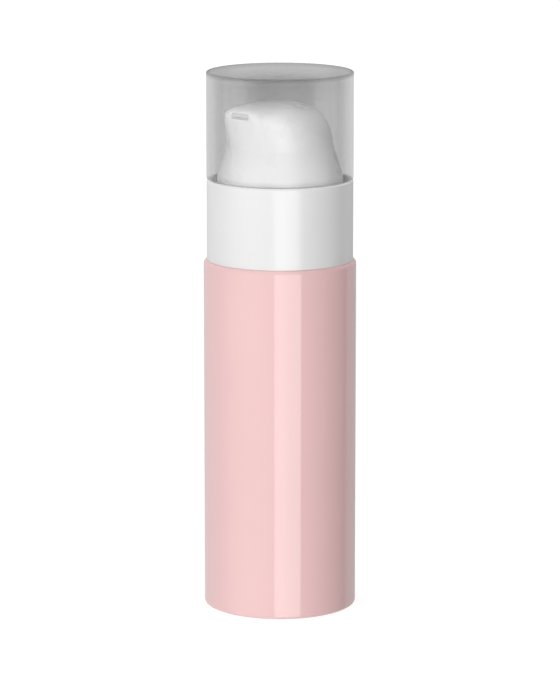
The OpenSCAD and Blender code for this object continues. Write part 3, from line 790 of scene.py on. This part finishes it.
# How dense the veil on the cap is: on its wall, from where that is seen face on (0) to edge on (1), what
# the wall has more towards its top, the share of that which is left as the wall turns edge on, on the lid
# and on the plug
WALL_VEIL = (
    (0, 0.17), (0.13, 0.18), (0.22, 0.21), (0.3, 0.28), (0.4, 0.34), (0.55, 0.34), (0.75, 0.32), (1, 0.3))
TOP_VEIL = (
    (head_top - 0.6 * MM, 0), (head_top + 1.8 * MM, 0.09), (head_top + 4 * MM, 0.14), (cap_top, 0.16))
FACE_ON_SHARE = ((0, 1), (0.05, 0.75), (0.13, 0.45), (0.29, 0.25), (0.5, 0.1), (0.7, 0))
LID_VEIL = 0.64
# the plug's veil lets its painted pale grey show, a painted light for the shaded gap at the collar's mouth
PLUG_VEIL = 0.6

# How dense the tint in the cap's hollow is, in a millimetre of way. It is laid three times over, out to
# three distances from the axis, each time between ends that lie a step further inside
HAZE = 0.0112
HAZE_RADII = (16.2 * MM, 13 * MM, 9 * MM)
haze_step = 0.05 * MM

# The light from each angle around the bottle, in degrees to the right of the camera: a pale wall with a
# black screen on the right. A strip adds to it, with its light given by the angle and the share of that by
# the height, in degrees above the horizon. The light from overhead comes on between two such heights.
# A ramp's levels end at 1, so the ramps hold shares of the brightest.
STUDIO = (
    (-180, 0.62), (-165, 0.72), (-150, 0.83), (-128, 0.91), (-105, 0.7), (-97, 0.62), (-82, 0.78),
    (-60, 0.84), (-38, 0.82), (-28, 0.68), (-8.6, 0.65), (31.5, 0.65), (32, 0.02),
    (90, 0.02), (110, 0.08), (119, 0.1), (122, 0.7), (142, 0.78), (165, 0.65), (180, 0.62))
STRIP = ((-8.6, 0), (-8.2, 2.657), (11, 2.657), (12, 2.36), (31.5, 2.36), (32, 0))
STRIP_HEIGHTS = ((-42, 0.182), (-34, 1), (8, 1), (16, 0.182))
OVERHEAD = ((60.5, 0), (68.4, 1.3))
BRIGHTEST = 4
FLOOR_GLOW = 0.815


def make_world():
    """Light from all around that changes with the angle, and plain white where the camera looks past."""
    world = bpy.data.worlds.new("studio")
    bpy.context.scene.world = world
    world.use_nodes = True
    tree = world.node_tree
    tree.nodes.clear()
    links = tree.links
    turned = add(tree, "VectorRotate", rotation_type="Z_AXIS", Angle=-camera_turn)
    links.new(add(tree, "TexCoord").outputs["Generated"], turned.inputs["Vector"])
    parts = add(tree, "SeparateXYZ")
    links.new(turned.outputs["Vector"], parts.inputs["Vector"])
    turn = maths(tree, "ARCTAN2", parts.outputs["X"], maths(tree, "MULTIPLY", parts.outputs["Y"], -1))
    rise = parts.outputs["Z"]

    def around(stops):
        """The light at each angle around the bottle."""
        shares = [(math.radians(angle), level / BRIGHTEST) for angle, level in stops]
        return ramp(tree, turn, -math.pi, math.pi, shares)

    def upwards(stops, whole):
        """The light at each height, as a share of a whole."""
        shares = [(math.sin(math.radians(height)), level / whole) for height, level in stops]
        return ramp(tree, rise, -1, 1, shares)

    strip_and_wall = maths(tree, "MULTIPLY_ADD", around(STRIP), upwards(STRIP_HEIGHTS, 1), around(STUDIO))
    light = maths(tree, "ADD", strip_and_wall, upwards(OVERHEAD, BRIGHTEST))
    studio = add(tree, "Background", Strength=BRIGHTEST)
    links.new(light, studio.inputs["Color"])
    ground = add(tree, "Background", Color=(1, 1, 1, 1), Strength=1)
    mix = add(tree, "MixShader")
    links.new(camera_ray(tree), mix.inputs["Fac"])
    links.new(studio.outputs["Background"], mix.inputs[1])
    links.new(ground.outputs["Background"], mix.inputs[2])
    output = tree.nodes.new("ShaderNodeOutputWorld")
    links.new(mix.outputs["Shader"], output.inputs["Surface"])


def floor_material():
    """A pale floor that glows for the camera, so that it is pale without more light on the bottle."""
    material, tree, output = new_material("floor_pale")
    links = tree.links
    own = add(tree, "BsdfDiffuse", Color=(0.3, 0.3, 0.3, 1))
    glow = add(tree, "Emission", Color=(1, 1, 1, 1), Strength=FLOOR_GLOW)
    both = add(tree, "AddShader")
    links.new(own.outputs["BSDF"], both.inputs[0])
    links.new(glow.outputs["Emission"], both.inputs[1])
    mix = add(tree, "MixShader")
    links.new(camera_ray(tree), mix.inputs["Fac"])
    links.new(own.outputs["BSDF"], mix.inputs[1])
    links.new(both.outputs["Shader"], mix.inputs[2])
    links.new(mix.outputs["Shader"], output.inputs["Surface"])
    return material


def make_floor():
    """The floor. The bottle's gloss shows the studio's strip down to its foot, and not the floor."""
    reach_out = 20  # metres, far beyond the picture
    corners = [(x * reach_out, y * reach_out, 0) for x, y in ((-1, -1), (1, -1), (1, 1), (-1, 1))]
    floor = mesh_piece("floor", corners, [(0, 1, 2, 3)])
    floor.data.materials.append(floor_material())
    hide_from(floor, "diffuse", "glossy", "shadow")


def make_camera():
    """The camera at the photograph's viewing angle."""
    camera = link("camera", bpy.data.cameras.new("camera"))
    camera.location = (camera_distance * math.sin(camera_turn), -camera_distance * math.cos(camera_turn),
                       camera_height)
    look = Vector((0, 0, aim_z)) - camera.location
    camera.rotation_euler = look.to_track_quat("-Z", "Y").to_euler()
    camera.data.lens = lens
    camera.data.sensor_width = sensor
    camera.data.clip_start = 0.01
    camera.data.clip_end = 100
    bpy.context.scene.camera = camera


def make_materials():
    """Every material by the slot that it finishes."""
    white = (0.8, 0.8, 0.8)
    return {
        "pink_shell": plastic("pink_shell", (0.84, 0.554, 0.554), 0.035, 0.53, wander=0.01),
        "white_base": plastic("white_base", (0.78, 0.76, 0.76), 0.4),
        "inner_white": plastic("inner_white", (0.78, 0.78, 0.76), 0.45),
        "follower_white": plastic("follower_white", (0.74, 0.74, 0.71), 0.5),
        "collar_white": plastic("collar_white", white, 0.2, 0.53),
        "pump_white": plastic("pump_white", (0.78, 0.78, 0.78), 0.4),
        "pump_clear": plastic("pump_clear", (0.7, 0.73, 0.75), 0.35),
        "gasket_grey": plastic("gasket_grey", (0.56, 0.6, 0.64), 0.7, peel=6e-6, peel_size=0.5 * MM),
        "ball_steel": steel("ball_steel", (0.62, 0.63, 0.66), 0.1),
        "spring_steel": steel("spring_steel", (0.5, 0.51, 0.53), 0.28),
        "head_core_white": plastic("head_core_white", white, 0.4),
        "nozzle_white": plastic("nozzle_white", (0.82, 0.82, 0.82), 0.3),
        # the head's white is painted whiter than the collar's, painted light that makes up for what the
        # cap's veil and haze take off it
        "head_white": plastic(
            "head_white", (0.94, 0.94, 0.94), 0.28, Sheen_Weight=0.3, Sheen_Roughness=0.4),
        "cap_smoke": clear_plastic("cap_smoke"),
    }


def finish_cad_nodes(materials):
    """Gives every CAD node that stays the material of its slot."""
    for part in frame["record"]["subparts"]:
        node = frame["nodes"][part["node"]]
        if not node.data.materials:
            node.data.materials.append(None)
        for i in range(len(node.data.materials)):
            node.data.materials[i] = materials[part["material_slot"]]


def make_tint():
    """The tint in the cap's hollow, as cylinders inside one another that only the camera's rays meet."""
    smoke = haze("cap_haze")
    for number, haze_r in enumerate(HAZE_RADII, start=1):
        haze_top = cap_top - cap_top_t - haze_step * number
        haze_bottom = spigot_z + haze_step * number
        hollow = mesh_piece(f"cap_haze_{number}", *revolved([
            (0, haze_top), (0, haze_bottom), (haze_r, haze_bottom), (haze_r, haze_top)]))
        point_outwards(hollow)
        dress(hollow, "cap", "cap", smoke)
        hide_from(hollow, "shadow", "diffuse", "glossy")


def make_bottle(materials):
    """The pieces that are modelled finer than the CAD shows them.

    The collar throws no shadow, which stands for the light that shines through its white wall onto
    the head, and the clear cap takes none of the light that falls on what is under it.
    """
    sleeve = mesh_piece("sleeve", *revolved(sleeve_outline()))
    dress(sleeve, "bottle", "outer_sleeve", materials["pink_shell"])
    ring = mesh_piece("white_collar", *revolved(collar_outline()))
    dress(ring, "bottle", "collar", materials["collar_white"])
    hide_from(ring, "shadow")
    clear = mesh_piece("clear_cap", *revolved(cap_outline()))
    dress(clear, "cap", "cap", materials["cap_smoke"])
    hide_from(clear, "shadow", "diffuse")
    make_tint()
    dress(head_shell(), "head", "actuator_shell", materials["head_white"])
    for piece in nozzle_pieces():
        dress(piece, "head", "nozzle_insert", materials["nozzle_white"])
    spring = mesh_piece("spring_coil", *spring_form())
    point_outwards(spring)
    dress(spring, "bottle", "return_spring", materials["spring_steel"])
    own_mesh(spring)


bpy.context.scene.view_settings.view_transform = "Standard"
make_camera()
make_world()
make_floor()
slots = make_materials()
finish_cad_nodes(slots)
make_bottle(slots)
